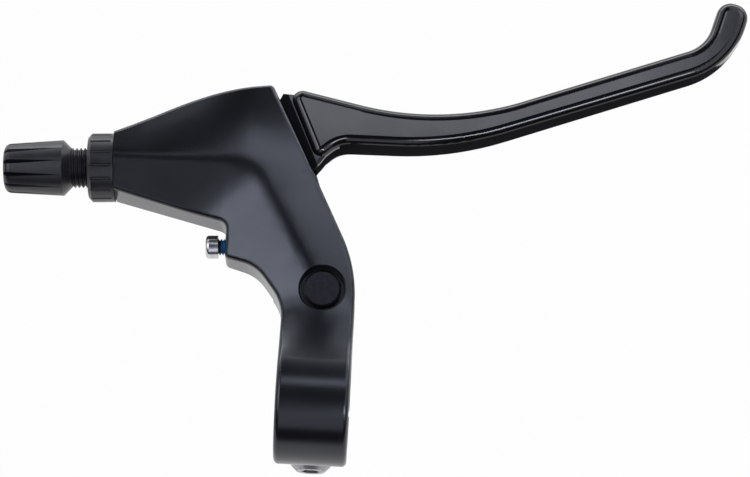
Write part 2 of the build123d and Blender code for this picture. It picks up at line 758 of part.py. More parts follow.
def adjuster_barrel():
    """A threaded stem with a tapered, fluted knob and a socket for the casing."""
    profile = Polyline(
        (0, -STEM_IN),
        (THREAD_R, -STEM_IN),
        (THREAD_R, ring_end),
        (THREAD_ROOT_R, ring_end),
        (THREAD_ROOT_R, thread_end),
        (KNOB_R_IN, knob_start),
        (KNOB_R_OUT, barrel_end),
        (0, barrel_end),
        close=True,
    )
    body = revolve(Plane.XZ * make_face(profile), Axis.Z)
    body = fillet(body.edges().group_by(Axis.Z)[-1], KNOB_END_R)
    body -= knob_flutes()
    body -= Pos(0, 0, barrel_end - SOCKET_DEPTH / 2) * Cylinder(SOCKET_R, SOCKET_DEPTH)
    body -= Pos(0, 0, barrel_end - SOCKET_DEPTH) * Cylinder(SEAT_R + SEAT_GAP, 2 * SEAT_LENGTH)
    body -= Pos(0, 0, barrel_end / 2) * Cylinder(CABLE_R, 4 * barrel_end)
    return adjuster_plane * body - cable_slit(-2 * STEM_IN, 2 * barrel_end, 2 * KNOB_R_IN)


def knob_flutes():
    """V flutes round the knob, deepest at its outer end and running out at its inner end."""
    floor = KNOB_R_OUT - FLUTE_DEPTH
    mouth = KNOB_R_IN + FLUTE_HALF
    wedge = make_face(
        Polyline((floor, 0), (mouth, FLUTE_HALF), (mouth, -FLUTE_HALF), close=True)
    )
    lean = degrees(atan2(KNOB_R_IN - floor, KNOB_LENGTH))
    place = Pos(floor, 0, barrel_end) * Rot(0, -lean, 0) * Pos(-floor, 0, 0)
    cut = place * Pos(0, 0, -KNOB_LENGTH) * extrude(wedge, amount=2 * KNOB_LENGTH)
    return Part() + [Rot(0, 0, 360 * i / KNOB_FLUTES) * cut for i in range(KNOB_FLUTES)]


def adjuster_lock_ring():
    """The ring nut that locks the barrel against the bracket, with shallow lobes."""
    ring = Cylinder(RING_R, RING_LENGTH)
    ring = chamfer(ring.edges().group_by(Axis.Z)[-1], RING_CHAMFER)
    groove = Cylinder(RING_GROOVE_R, RING_LENGTH * 2)
    place = RING_R + RING_GROOVE_R - RING_GROOVE
    for i in range(RING_LOBES):
        turn = 360 * (i + 0.5) / RING_LOBES
        ring -= Rot(0, 0, turn) * Pos(place, 0, RING_COLLAR + RING_LENGTH / 2) * groove
    ring -= Cylinder(THREAD_R + THREAD_PLAY, 2 * RING_LENGTH)
    ring = adjuster_plane * Pos(0, 0, RING_FACE_GAP + RING_LENGTH / 2) * ring
    return ring - cable_slit(-RING_LENGTH, 2 * RING_LENGTH, 2 * RING_R)


def casing_seat():
    """The metal seat at the bottom of the casing's socket."""
    low = barrel_end - SOCKET_DEPTH - SEAT_LENGTH
    seat = rod(adjuster_plane, low, low + SEAT_LENGTH, SEAT_R)
    seat -= rod(adjuster_plane, low - SEAT_LENGTH, low + 2 * SEAT_LENGTH, CABLE_R)
    return seat - cable_slit(low - SEAT_LENGTH, low + 2 * SEAT_LENGTH, 2 * SOCKET_R)


def reach_screw():
    """A socket screw through the bracket's wall, whose tip stops the blade."""
    head = Cylinder(REACH_HEAD_R, REACH_HEAD)
    head = fillet(head.edges().group_by(Axis.Z)[-1], REACH_HEAD_EDGE)
    head = Pos(0, 0, REACH_SHOWN + REACH_HEAD / 2) * head
    tip = pad_face + REACH_TIP_GAP
    shank = Cylinder(REACH_R, -tip)
    shank = chamfer(shank.edges().group_by(Axis.Z)[0], REACH_TIP_BEVEL)
    body = head + Pos(0, 0, tip / 2) * shank
    body += Pos(0, 0, REACH_SHOWN / 2) * Cylinder(REACH_ROOT_R, REACH_SHOWN)
    hexagon = RegularPolygon(REACH_HEX / 2, 6, major_radius=False)
    floor = REACH_SHOWN + REACH_HEAD - REACH_HEX_DEPTH
    return reach_plane * (body - extrude(Pos(0, 0, floor) * hexagon, amount=REACH_HEAD))


pieces = {
    "bracket": bracket(),
    "clamp_bolt": clamp_bolt(),
    "pivot_axle": pivot_axle(),
    "axle_clip": axle_clip(),
    "upper_bush": bush(1),
    "lower_bush": bush(-1),
    "lever_blade": lever_blade(),
    "cable_anchor": cable_anchor(),
    "adjuster_barrel": adjuster_barrel(),
    "adjuster_lock_ring": adjuster_lock_ring(),
    "casing_seat": casing_seat(),
    "reach_screw": reach_screw(),
}
os.makedirs("parts", exist_ok=True)
for name, shape in pieces.items():
    export_step(shape, f"parts/{name}.step")
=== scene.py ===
# %% [markdown]
# # A flat-bar brake lever in the studio
# The lever's solids come from the CAD step, already in their places and in metres. This script gives them
# their finishes, adds the two screw threads that are too fine for the solids, and lights the lever on a
# pale floor. The frame is loaded first, because everything else is measured from it.

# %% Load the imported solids
import json

import bpy
import numpy as np
from mathutils import Matrix, Vector


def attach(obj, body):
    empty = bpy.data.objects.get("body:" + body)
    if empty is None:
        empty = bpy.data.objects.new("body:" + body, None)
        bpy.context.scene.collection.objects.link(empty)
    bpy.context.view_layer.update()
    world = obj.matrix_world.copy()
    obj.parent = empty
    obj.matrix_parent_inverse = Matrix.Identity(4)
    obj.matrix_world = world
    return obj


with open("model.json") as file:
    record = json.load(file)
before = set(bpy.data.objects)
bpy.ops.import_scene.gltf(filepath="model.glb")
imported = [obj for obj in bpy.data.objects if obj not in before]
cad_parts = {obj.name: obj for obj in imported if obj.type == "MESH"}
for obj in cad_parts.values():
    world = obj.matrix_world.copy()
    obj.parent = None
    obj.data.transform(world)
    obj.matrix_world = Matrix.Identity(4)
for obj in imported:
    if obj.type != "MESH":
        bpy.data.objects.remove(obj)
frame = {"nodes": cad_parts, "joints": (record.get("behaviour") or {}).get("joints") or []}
nodes = frame["nodes"]
joints = {joint["name"]: joint for joint in frame["joints"]}
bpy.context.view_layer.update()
MM = 0.001

# %% [markdown]
# The lever was photographed from above and a little from the rider's side, with a long lens. A camera could
# be aimed by eye, but its tilt and roll were worked out from the clamp and the barrel, so here it is built
# from those angles: the view leans from straight down, and the picture is rolled a little about the view.

# %% Camera
VIEW_TILT = np.radians(15.0)
VIEW_ROLL = np.radians(3.0)
VIEW_DISTANCE = 650 * MM
VIEW_AIM = Vector((12.9, 41.7, 0.0)) * MM
MM_PER_PIXEL = 0.246
PHOTO_WIDTH = 750
SENSOR_MM = 36.0

toward_camera = Vector((0, -np.sin(VIEW_TILT), np.cos(VIEW_TILT)))
level_right = Vector((1, 0, 0))
level_up = toward_camera.cross(level_right)
picture_right = level_right * np.cos(VIEW_ROLL) + level_up * np.sin(VIEW_ROLL)
picture_up = toward_camera.cross(picture_right)

camera_data = bpy.data.cameras.new("long_lens")
camera_data.sensor_width = SENSOR_MM
camera_data.lens = SENSOR_MM * VIEW_DISTANCE / (PHOTO_WIDTH * MM_PER_PIXEL * MM)
camera = bpy.data.objects.new("camera", camera_data)
axes = Matrix((picture_right, picture_up, toward_camera)).transposed()
stand = VIEW_AIM + toward_camera * VIEW_DISTANCE
camera.matrix_world = Matrix.Translation(stand) @ axes.to_4x4()
bpy.context.scene.collection.objects.link(camera)
bpy.context.scene.camera = camera
print("camera at mm", [round(v / MM) for v in stand], "lens mm", round(camera_data.lens))

# %% [markdown]
# Every finish below is a small tree of shader nodes. One helper adds a node with its settings and links, and
# one starts a material and hands back the surface shader. Colours are written as sRGB hex values, as a paint
# chart gives them, and one function turns them to the linear values that Blender works with. An input is
# filled by its name or by its number, since some nodes have several of one name: in a Mix node, 4 and 5 are
# the two vectors, and 6 and 7 the two colours.

# %% Helpers for materials


def linear(code):
    """A hex colour such as '#1a1a1c' as linear red, green and blue, by the sRGB curve, and an alpha of 1."""
    channels = np.array([int(code[i : i + 2], 16) for i in (1, 3, 5)]) / 255
    low = channels / 12.92
    high = ((channels + 0.055) / 1.055) ** 2.4
    return (*np.where(channels <= 0.04045, low, high), 1.0)


def add(tree, kind, inputs=None, **settings):
    """Adds one node, applies its settings, and fills each input with a value or a link."""
    made = tree.nodes.new(kind)
    for name, value in settings.items():
        setattr(made, name, value)
    for socket, value in (inputs or {}).items():
        if isinstance(value, bpy.types.NodeSocket):
            tree.links.new(value, made.inputs[socket])
        else:
            made.inputs[socket].default_value = value
    return made


def start_material(name):
    """A new material with one surface shader; returns the material, its tree and that shader."""
    made = bpy.data.materials.new(name)
    made.use_nodes = True
    return made, made.node_tree, made.node_tree.nodes["Principled BSDF"]


def dress(node, finish):
    """Gives a CAD node one finish in place of the materials that it came with."""
    mesh = nodes[node].data
    mesh.materials.clear()
    mesh.materials.append(finish)


def per_metre(size_mm):
    """How often a pattern of that size repeats in a metre, which is what a texture's scale means here."""
    return 1.0 / (size_mm * MM)


print("helpers ready")

# %% [markdown]
# The bracket is a die casting with a satin black coat. A single dark colour would look like a cut-out, since
# black paint is seen almost only by what it mirrors. So the roughness wanders softly over centimetres, as a
# sprayed coat's does, a fine grain stands in for the coat's tooth, and a faint waviness is left from the
# casting. The real grain is about 0.1 mm; it is drawn at 0.45 mm so that it shows at this picture's scale.
# A noise pattern mostly keeps between 0.3 and 0.7, so that range is stretched over the roughnesses, here and
# in the finishes further down. The coat's reflections lean slightly to blue.
#
# A curved solid comes as flat facets whose shading is smoothed over. On one small facet beside the blade's
# gap the smoothed direction is wrong, so it would mirror the wrong part of the studio. The mesh could be
# mended, but a CAD mesh is left as it is here, so the finish falls back on the facet's own direction
# wherever the two differ by more than about 6 degrees.

# %% Satin black coat on the die-cast bracket
NOISE_LOW = 0.3
NOISE_HIGH = 0.7
CASTING_WAVE_MM = 7.0
CASTING_WAVE_DEPTH = 0.06 * MM
COAT_CLOUD_MM = 16.0
COAT_GRAIN_MM = 0.45
COAT_GRAIN_DEPTH = 0.01 * MM
SATIN_SMOOTHEST = 0.22
SATIN_DULLEST = 0.27
STEADY_COSINE = 0.995


def steady_normal(tree):
    """The smoothed normal where it keeps near the facet's own, and the facet's own elsewhere."""
    surface = add(tree, "ShaderNodeNewGeometry")
    smooth = surface.outputs["Normal"]
    facet = surface.outputs["True Normal"]
    agree = add(tree, "ShaderNodeVectorMath", {0: smooth, 1: facet}, operation="DOT_PRODUCT")
    steady = add(
        tree,
        "ShaderNodeMath",
        {0: agree.outputs["Value"], 1: STEADY_COSINE},
        operation="GREATER_THAN",
    )
    chosen = add(
        tree,
        "ShaderNodeMix",
        {"Factor": steady.outputs[0], 4: facet, 5: smooth},
        data_type="VECTOR",
    )
    return chosen.outputs[1]


def satin_coat():
    """Satin black paint, sprayed on a die casting: broad soft reflections and a fine tooth."""
    made, tree, shader = start_material("satin_black_paint_sprayed_on_die_casting")
    place = add(tree, "ShaderNodeTexCoord").outputs["Object"]
    cloud = add(
        tree,
        "ShaderNodeTexNoise",
        {"Vector": place, "Scale": per_metre(COAT_CLOUD_MM), "Detail": 2.0},
    )
    grain = add(
        tree,
        "ShaderNodeTexNoise",
        {"Vector": place, "Scale": per_metre(COAT_GRAIN_MM), "Detail": 3.0},
    )
    wave = add(
        tree,
        "ShaderNodeTexNoise",
        {"Vector": place, "Scale": per_metre(CASTING_WAVE_MM), "Detail": 0.0},
    )
    tint = add(
        tree,
        "ShaderNodeMix",
        {"Factor": cloud.outputs["Fac"], 6: linear("#09090b"), 7: linear("#0d0d10")},
        data_type="RGBA",
    )
    rough = add(
        tree,
        "ShaderNodeMapRange",
        {
            "Value": cloud.outputs["Fac"],
            "From Min": NOISE_LOW,
            "From Max": NOISE_HIGH,
            "To Min": SATIN_SMOOTHEST,
            "To Max": SATIN_DULLEST,
        },
    )
    waviness = add(
        tree,
        "ShaderNodeBump",
        {
            "Height": wave.outputs["Fac"],
            "Distance": CASTING_WAVE_DEPTH,
            "Strength": 0.25,
            "Normal": steady_normal(tree),
        },
    )
    tooth = add(
        tree,
        "ShaderNodeBump",
        {
            "Height": grain.outputs["Fac"],
            "Distance": COAT_GRAIN_DEPTH,
            "Strength": 0.5,
            "Normal": waviness.outputs["Normal"],
        },
    )
    tree.links.new(tint.outputs[2], shader.inputs["Base Color"])
    tree.links.new(rough.outputs["Result"], shader.inputs["Roughness"])
    tree.links.new(tooth.outputs["Normal"], shader.inputs["Normal"])
    shader.inputs["IOR"].default_value = 1.55
    shader.inputs["Specular Tint"].default_value = linear("#f1f5ff")
    return made


dress("bracket", satin_coat())
print("bracket coat done")

# %% [markdown]
# The blade is painted too, but with a glossy coat over polished metal, so it shows the lamps as crisp lines
# along its rounded edges. Wet paint pulls itself almost flat and leaves a slight orange peel a few
# millimetres across. That peel is what tells gloss paint from black glass, so it is the one relief here.
# Only the top and the rims were polished before painting, so lower down, in the rear channel and on the
# underside, the paint lies on the bare forging and is duller. The root that swings inside the bracket was
# masked off before the gloss coat and keeps a dull primer, and its specular level is cut almost to nothing
# as painted shade, which darkens it in the gap between bracket and blade. All share one solid, so the finish
# changes with the height, and again where the root meets the blade's shoulder.

# %% Gloss black coat on the blade
ORANGE_PEEL_MM = 2.6
ORANGE_PEEL_DEPTH = 0.012 * MM
GLOSS_SMOOTHEST = 0.1
GLOSS_DULLEST = 0.15
FORGED_ROUGHNESS = 0.55
POLISH_FADES = -3.0 * MM
POLISH_FULL = -1.0 * MM
PRIMER_ROUGHNESS = 0.75
# Near zero, the root's specular level darkens it as painted shade for the gap between bracket and blade.
PAINTED_SHADE_SPECULAR = 0.05
PAINT_SPECULAR = 0.5
SHOULDER = Vector((-2.4, 59.3, 0.0)) * MM
SHOULDER_OUT = Vector((0.9073, 0.4206, 0.0))
PRIMER_EDGE = -0.3 * MM


def gloss_coat():
    """Gloss black paint on a forged blade: crisp lines, slight orange peel, duller underside, and a dull root
    darkened as painted shade.
    """
    made, tree, shader = start_material("gloss_black_paint_on_forged_blade")
    place = add(tree, "ShaderNodeTexCoord").outputs["Object"]
    peel = add(
        tree,
        "ShaderNodeTexNoise",
        {"Vector": place, "Scale": per_metre(ORANGE_PEEL_MM), "Detail": 1.0},
    )
    cloud = add(
        tree,
        "ShaderNodeTexNoise",
        {"Vector": place, "Scale": per_metre(COAT_CLOUD_MM), "Detail": 2.0},
    )
    gloss = add(
        tree,
        "ShaderNodeMapRange",
        {
            "Value": cloud.outputs["Fac"],
            "From Min": NOISE_LOW,
            "From Max": NOISE_HIGH,
            "To Min": GLOSS_SMOOTHEST,
            "To Max": GLOSS_DULLEST,
        },
    )
    height = add(tree, "ShaderNodeSeparateXYZ", {0: place}).outputs["Z"]
    polish = add(
        tree,
        "ShaderNodeMapRange",
        {
            "Value": height,
            "From Min": POLISH_FADES,
            "From Max": POLISH_FULL,
            "To Min": FORGED_ROUGHNESS,
            "To Max": gloss.outputs["Result"],
        },
    )
    offset = add(tree, "ShaderNodeVectorMath", {0: place, 1: SHOULDER}, operation="SUBTRACT").outputs[0]
    past = add(tree, "ShaderNodeVectorMath", {0: offset, 1: SHOULDER_OUT}, operation="DOT_PRODUCT")
    rough = add(
        tree,
        "ShaderNodeMapRange",
        {
            "Value": past.outputs["Value"],
            "From Min": PRIMER_EDGE,
            "From Max": 0.0,
            "To Min": PRIMER_ROUGHNESS,
            "To Max": polish.outputs["Result"],
        },
    )
    # Painted shade: past the shoulder the specular level falls almost to nothing, so the root is dark in the
    # gap between bracket and blade.
    specular = add(
        tree,
        "ShaderNodeMapRange",
        {
            "Value": past.outputs["Value"],
            "From Min": PRIMER_EDGE,
            "From Max": 0.0,
            "To Min": PAINTED_SHADE_SPECULAR,
            "To Max": PAINT_SPECULAR,
        },
    )
    skin = add(
        tree,
        "ShaderNodeBump",
        {"Height": peel.outputs["Fac"], "Distance": ORANGE_PEEL_DEPTH, "Strength": 0.3},
    )
    tree.links.new(rough.outputs["Result"], shader.inputs["Roughness"])
    tree.links.new(specular.outputs["Result"], shader.inputs["Specular IOR Level"])
    tree.links.new(skin.outputs["Normal"], shader.inputs["Normal"])
    shader.inputs["Base Color"].default_value = linear("#0b0b0d")
    shader.inputs["IOR"].default_value = 1.52
    return made


dress("lever_blade", gloss_coat())
print("blade coat done")

# %% [markdown]
# The adjuster's barrel and its lock ring are moulded from black nylon with glass fibre in it. Such a moulding
# is duller than paint and has a fine, slightly mottled skin. The barrel's stem carries a screw thread. Most
# of it hides in the ring and the bracket, so there the thread is only a bump that runs round the stem as a
# helix; where it shows, it is a real ridge, made further down. Both have the same pitch and turn the same
# way. Their axis comes from the barrel's own joint, which lies halfway down the socket for the casing, and
# distances along it count from the end of the bracket's boss.

# %% Where the barrel lies
UP = Vector((0, 0, 1))
CABLE_OUT = Vector(joints["adjuster_turn"]["axis"])
CABLE_SIDE = UP.cross(CABLE_OUT)
BOSS_TO_SOCKET = 23.3 * MM
BOSS_FACE = Vector(joints["adjuster_turn"]["pos_m"]) - CABLE_OUT * BOSS_TO_SOCKET
THREAD_PITCH = 1.0 * MM
THREAD_CREST_R = 4.95 * MM
THREAD_ROOT_R = 4.4 * MM
print("bracket's boss ends at mm", [round(v / MM, 2) for v in BOSS_FACE])

# %% Helix on the barrel's stem
STEM_BAND = 0.05 * MM
THREAD_BUMP_DEPTH = 1.2 * MM


def helix_on_stem(tree, place):
    """Height of a ridge that is highest where distance / pitch - angle / turn lies midway between whole
    numbers. Away from the stem's cylinder it is zero."""
    offset = add(tree, "ShaderNodeVectorMath", {0: place, 1: BOSS_FACE}, operation="SUBTRACT").outputs[0]
    out = add(tree, "ShaderNodeVectorMath", {0: offset, 1: CABLE_OUT}, operation="DOT_PRODUCT")
    across = add(tree, "ShaderNodeVectorMath", {0: offset, 1: CABLE_SIDE}, operation="DOT_PRODUCT")
    side = across.outputs["Value"]
    up = add(tree, "ShaderNodeSeparateXYZ", {0: offset}).outputs["Z"]
    angle = add(tree, "ShaderNodeMath", {0: up, 1: side}, operation="ARCTAN2").outputs[0]
    turns = add(tree, "ShaderNodeMath", {0: angle, 1: 2 * np.pi}, operation="DIVIDE").outputs[0]
    distance = out.outputs["Value"]
    pitches = add(tree, "ShaderNodeMath", {0: distance, 1: THREAD_PITCH}, operation="DIVIDE").outputs[0]
    phase = add(tree, "ShaderNodeMath", {0: pitches, 1: turns}, operation="SUBTRACT").outputs[0]
    ridge = add(tree, "ShaderNodeMath", {0: phase, 1: 0.5}, operation="PINGPONG").outputs[0]
    side_squared = add(tree, "ShaderNodeMath", {0: side, 1: side}, operation="MULTIPLY").outputs[0]
    squared = add(tree, "ShaderNodeMath", {0: up, 1: up, 2: side_squared}, operation="MULTIPLY_ADD")
    radius = add(tree, "ShaderNodeMath", {0: squared.outputs[0]}, operation="SQRT").outputs[0]
    on_stem = add(
        tree,
        "ShaderNodeMath",
        {0: radius, 1: THREAD_CREST_R, 2: STEM_BAND},
        operation="COMPARE",
    )
    helix = add(tree, "ShaderNodeMath", {0: ridge, 1: on_stem.outputs[0]}, operation="MULTIPLY")
    return helix.outputs[0]


print("helix pitch mm", THREAD_PITCH / MM)

# %% Moulded black nylon
NYLON_MOTTLE_MM = 1.1
NYLON_MOTTLE_DEPTH = 0.02 * MM
NYLON_CLOUD_MM = 6.0
NYLON_SMOOTHEST = 0.29
NYLON_DULLEST = 0.39


def moulded_nylon():
    """Glass-filled black nylon as moulded: dull, slightly mottled, with a helix on the stem's cylinder."""
    made, tree, shader = start_material("moulded_black_glass_filled_nylon")
    place = add(tree, "ShaderNodeTexCoord").outputs["Object"]
    mottle = add(
        tree,
        "ShaderNodeTexNoise",
        {"Vector": place, "Scale": per_metre(NYLON_MOTTLE_MM), "Detail": 3.0},
    )
    cloud = add(
        tree,
        "ShaderNodeTexNoise",
        {"Vector": place, "Scale": per_metre(NYLON_CLOUD_MM), "Detail": 2.0},
    )
    rough = add(
        tree,
        "ShaderNodeMapRange",
        {
            "Value": cloud.outputs["Fac"],
            "From Min": NOISE_LOW,
            "From Max": NOISE_HIGH,
            "To Min": NYLON_SMOOTHEST,
            "To Max": NYLON_DULLEST,
        },
    )
    tint = add(
        tree,
        "ShaderNodeMix",
        {"Factor": mottle.outputs["Fac"], 6: linear("#0d0d10"), 7: linear("#151519")},
        data_type="RGBA",
    )
    skin = add(
        tree,
        "ShaderNodeBump",
        {"Height": mottle.outputs["Fac"], "Distance": NYLON_MOTTLE_DEPTH, "Strength": 0.3},
    )
    threaded = add(
        tree,
        "ShaderNodeBump",
        {
            "Height": helix_on_stem(tree, place),
            "Distance": THREAD_BUMP_DEPTH,
            "Strength": 1.0,
            "Normal": skin.outputs["Normal"],
        },
    )
    tree.links.new(tint.outputs[2], shader.inputs["Base Color"])
    tree.links.new(rough.outputs["Result"], shader.inputs["Roughness"])
    tree.links.new(threaded.outputs["Normal"], shader.inputs["Normal"])
    shader.inputs["IOR"].default_value = 1.53
    return made


nylon = moulded_nylon()
dress("adjuster_barrel", nylon)
dress("adjuster_lock_ring", nylon)
print("nylon done")

# %% [markdown]
# The small steel pieces differ only in tint, roughness and the size of their marks, so one function makes
# them all: zinc plate on the screw, the bolt and the casing's seat, black oxide on the axle, and bare spring
# steel on the clip. Plating is never even, so a cloudy pattern moves its roughness and its tint.

# %% Plated and blackened steel
PLATING_MARK_DEPTH = 0.03 * MM


def coated_steel(name, dark, light, smooth, dull, cloud_mm):
    """Steel with a thin metallic skin, whose tint and roughness drift between two values in soft clouds."""
    made, tree, shader = start_material(name)
    place = add(tree, "ShaderNodeTexCoord").outputs["Object"]
    cloud = add(
        tree,
        "ShaderNodeTexNoise",
        {"Vector": place, "Scale": per_metre(cloud_mm), "Detail": 4.0},
    )
    spread = add(
        tree,
        "ShaderNodeMapRange",
        {"Value": cloud.outputs["Fac"], "From Min": NOISE_LOW, "From Max": NOISE_HIGH},
    )
    tint = add(
        tree,
        "ShaderNodeMix",
        {"Factor": spread.outputs["Result"], 6: linear(dark), 7: linear(light)},
        data_type="RGBA",
    )
    rough = add(
        tree,
        "ShaderNodeMapRange",
        {"Value": spread.outputs["Result"], "To Min": dull, "To Max": smooth},
    )
    marks = add(
        tree,
        "ShaderNodeBump",
        {"Height": cloud.outputs["Fac"], "Distance": PLATING_MARK_DEPTH, "Strength": 0.2},
    )
    tree.links.new(tint.outputs[2], shader.inputs["Base Color"])
    tree.links.new(rough.outputs["Result"], shader.inputs["Roughness"])
    tree.links.new(marks.outputs["Normal"], shader.inputs["Normal"])
    shader.inputs["Metallic"].default_value = 1.0
    return made


bright_zinc = coated_steel("bright_zinc_plate_on_screw", "#b9b9bd", "#d6d6d9", 0.16, 0.26, 0.8)
dull_zinc = coated_steel("dull_zinc_plate_on_bolt", "#8f8d92", "#aeacb2", 0.28, 0.42, 1.2)
spring_steel = coated_steel("oiled_spring_steel", "#5b5a5c", "#7c7b7e", 0.25, 0.38, 1.5)
black_oxide = coated_steel("black_oxide_on_turned_steel", "#2a2a2e", "#36363b", 0.32, 0.42, 1.0)
dress("reach_screw", bright_zinc)
dress("clamp_bolt", dull_zinc)
dress("casing_seat", dull_zinc)
dress("axle_clip", spring_steel)
dress("pivot_axle", black_oxide)
print("steels done")

# %% [markdown]
# Inside the bracket sit a turned brass anchor for the cable and two bushes of bearing resin. Turning leaves
# fine rings round the anchor's axis, which a wave pattern in rings about that axis gives. The real rings are
# about 0.2 mm apart; they are drawn 2.5 mm apart so that they show. The resin is plain and waxy, so it needs
# only a soft mottle.

# %% Turned brass for the cable's anchor
ANCHOR_CENTRE = Vector(joints["anchor_swivel"]["pos_m"])
TURNING_MARK_MM = 2.5
TURNING_MARK_DEPTH = 0.02 * MM
BRASS_SMOOTHEST = 0.24
BRASS_DULLEST = 0.34
WAVE_PERIOD = 2 * np.pi / 20


def turned_brass():
    """Brass from the lathe: warm metal with rings about the anchor's axis. A ring texture at a scale of 1
    repeats every WAVE_PERIOD, so its scale is that period times the rings in a metre."""
    made, tree, shader = start_material("turned_brass")
    place = add(tree, "ShaderNodeTexCoord").outputs["Object"]
    centred = add(tree, "ShaderNodeMapping", {"Vector": place, "Location": -ANCHOR_CENTRE})
    rings = add(
        tree,
        "ShaderNodeTexWave",
        {
            "Vector": centred.outputs["Vector"],
            "Scale": per_metre(TURNING_MARK_MM) * WAVE_PERIOD,
            "Distortion": 0.4,
        },
        wave_type="RINGS",
        rings_direction="Z",
    )
    marks = add(
        tree,
        "ShaderNodeBump",
        {"Height": rings.outputs["Fac"], "Distance": TURNING_MARK_DEPTH, "Strength": 0.3},
    )
    rough = add(
        tree,
        "ShaderNodeMapRange",
        {"Value": rings.outputs["Fac"], "To Min": BRASS_SMOOTHEST, "To Max": BRASS_DULLEST},
    )
    tree.links.new(rough.outputs["Result"], shader.inputs["Roughness"])
    tree.links.new(marks.outputs["Normal"], shader.inputs["Normal"])
    shader.inputs["Base Color"].default_value = linear("#cba35a")
    shader.inputs["Metallic"].default_value = 1.0
    return made


dress("cable_anchor", turned_brass())
print("anchor turned about mm", [round(v / MM, 2) for v in ANCHOR_CENTRE])

# %% Bearing resin for the bushes
RESIN_MOTTLE_MM = 2.0


def bearing_resin():
    """Grey acetal as moulded: waxy, softly mottled."""
    made, tree, shader = start_material("moulded_grey_acetal")
    place = add(tree, "ShaderNodeTexCoord").outputs["Object"]
    mottle = add(
        tree,
        "ShaderNodeTexNoise",
        {"Vector": place, "Scale": per_metre(RESIN_MOTTLE_MM), "Detail": 2.0},
    )
    tint = add(
        tree,
        "ShaderNodeMix",
        {"Factor": mottle.outputs["Fac"], 6: linear("#4e4e50"), 7: linear("#5c5c5f")},
        data_type="RGBA",
    )
    tree.links.new(tint.outputs[2], shader.inputs["Base Color"])
    shader.inputs["Roughness"].default_value = 0.38
    shader.inputs["IOR"].default_value = 1.48
    return made


resin = bearing_resin()
dress("upper_bush", resin)
dress("lower_bush", resin)
print("resin done")

# %% [markdown]
# A screw thread is a tooth carried along a helix. It could be swept along a spiral curve, but a simpler way
# is to see the threaded stretch as a sleeve: at each angle and each distance along the screw, the radius is
# the root plus the height of the tooth there, and the tooth is met once per pitch and shifts with the angle.
# The sleeve gets an inner wall just under its root, so that it is a closed piece. The barrel lies on the
# cable's line and the reach screw beside it, parallel to it, so their two sleeves share its directions.

# %% Threaded sleeves
TOOTH_FOOT = 0.44
TOOTH_CREST = 0.06
STEPS_AROUND = 120
STEPS_PER_PITCH = 20
SLEEVE_SKIN = 0.04 * MM


def tooth_height(phase):
    """Height of a thread's tooth, 0 to 1, over one pitch: flat root, two straight flanks, narrow crest."""
    from_crest = np.abs(phase - np.round(phase))
    return np.clip((TOOTH_FOOT - from_crest) / (TOOTH_FOOT - TOOTH_CREST), 0, 1)


def sleeve_faces(rings, open_gap):
    """Four-sided faces between neighbouring loops. Where the sleeve has a gap, two end walls close it."""
    count = 2 * rings
    rows = np.arange(STEPS_AROUND - 1 if open_gap else STEPS_AROUND)
    i, k = np.meshgrid(rows, np.arange(count), indexing="ij")
    here = i * count
    beside = (i + 1) % STEPS_AROUND * count
    k_next = (k + 1) % count
    faces = np.stack([here + k, beside + k, beside + k_next, here + k_next], axis=-1).reshape(-1, 4)
    if open_gap:
        m = np.arange(rings - 1)
        near = np.stack([m, m + 1, count - 2 - m, count - 1 - m], axis=-1)
        far = near[:, ::-1] + (STEPS_AROUND - 1) * count
        faces = np.concatenate([faces, near, far])
    return faces


def threaded_sleeve(name, face, start, end, root, crest, pitch, gap=0.0):
    """A closed sleeve about a screw's axis: radius = root + (crest - root) * tooth(distance / pitch - angle
    / turn). A gap, as an angle centred straight down, leaves the sleeve open along one side."""
    open_gap = gap > 0
    rings = int(np.ceil((end - start) / pitch * STEPS_PER_PITCH)) + 1
    first = -np.pi / 2 + gap / 2
    angles = first + (2 * np.pi - gap) * np.linspace(0, 1, STEPS_AROUND, endpoint=open_gap)
    angle, along = np.meshgrid(angles, np.linspace(start, end, rings), indexing="ij")
    radius = root + (crest - root) * tooth_height(along / pitch - angle / (2 * np.pi))
    inside = np.full_like(radius, root - SLEEVE_SKIN)
    loop_angle = np.concatenate([angle, angle[:, ::-1]], axis=1)
    loop_along = np.concatenate([along, along[:, ::-1]], axis=1)
    loop_radius = np.concatenate([radius, inside], axis=1)
    points = (
        np.array(face)
        + loop_along[..., None] * np.array(CABLE_OUT)
        + (loop_radius * np.cos(loop_angle))[..., None] * np.array(CABLE_SIDE)
        + (loop_radius * np.sin(loop_angle))[..., None] * np.array(UP)
    )
    mesh = bpy.data.meshes.new(name)
    mesh.from_pydata(points.reshape(-1, 3).tolist(), [], sleeve_faces(rings, open_gap).tolist())
    mesh.validate()
    made = bpy.data.objects.new(name, mesh)
    bpy.context.scene.collection.objects.link(made)
    return made


print("sleeve steps around", STEPS_AROUND)

# %% [markdown]
# The barrel's sleeve starts just inside the lock ring and ends in the cone at the foot of the knob, so that
# neither end shows. It could be a full ring, but the stem has a slit from below for laying the cable in, so
# the sleeve has a gap as wide as that slit.

# %% Barrel's thread
BARREL_THREAD_START = 6.15 * MM
BARREL_THREAD_END = 10.8 * MM
SLIT_WIDTH = 2.0 * MM

barrel_thread = threaded_sleeve(
    "barrel_thread",
    BOSS_FACE,
    start=BARREL_THREAD_START,
    end=BARREL_THREAD_END,
    root=THREAD_ROOT_R,
    crest=THREAD_CREST_R,
    pitch=THREAD_PITCH,
    gap=2 * np.arcsin(SLIT_WIDTH / 2 / THREAD_ROOT_R),
)
barrel_thread.data.materials.append(nylon)
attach(barrel_thread, "adjuster")
print("barrel thread faces", len(barrel_thread.data.polygons))

# %% [markdown]
# The reach screw's thread shows for less than two millimetres, and that stretch wears a band of blue
# thread-lock, which keeps the screw from shaking loose. The thread is a sleeve like the barrel's. The band
# could be a second skin, but the dried compound fills the thread only in streaks, so it is painted on the
# thread: blue where a cloudy pattern is high and towards the bracket, steel where it is low.

